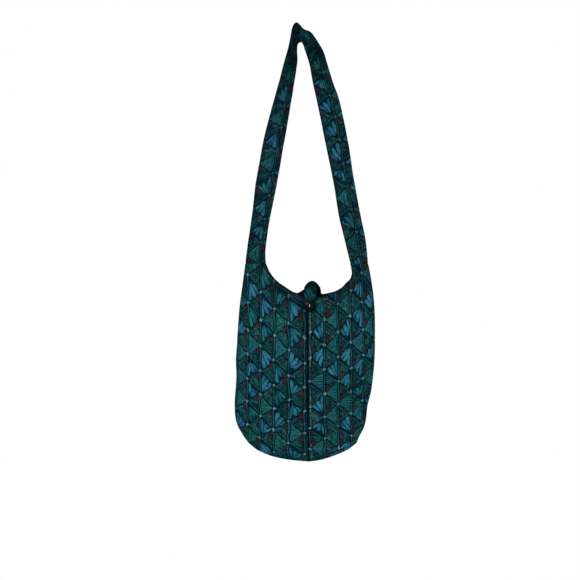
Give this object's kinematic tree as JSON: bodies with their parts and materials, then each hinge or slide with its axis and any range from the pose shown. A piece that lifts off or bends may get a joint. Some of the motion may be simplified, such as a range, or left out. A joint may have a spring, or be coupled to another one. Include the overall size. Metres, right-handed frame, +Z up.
{
  "type": "cotton sling bag",
  "caption": "Soft sling bag of printed cotton with a wide shoulder strap of the same cloth, a dark lining and a tab that closes the mouth over a coconut button.",
  "frame": {"origin": "under the top of the strap, where the bag hangs", "axes": "+Z up, front of the bag towards -Y, +X to the right seen from the front"},
  "size_m": [0.35, 0.0594, 1.0975],
  "materials": {
    "printed_cotton": "matte",
    "dark_cotton": "matte",
    "coconut_shell": "satin",
    "thread": "matte",
    "cord": "matte"
  },
  "bodies": {
    "root": {"front_panel_left": "printed_cotton", "front_panel_right": "printed_cotton", "back_panel_left": "printed_cotton", "back_panel_right": "printed_cotton", "strap_left": "printed_cotton", "strap_right": "printed_cotton", "front_lining": "dark_cotton", "back_lining": "dark_cotton", "closing_tab": "printed_cotton", "loop_cord": "cord", "button": "coconut_shell", "button_thread": "thread"}
  },
  "joints": []
}
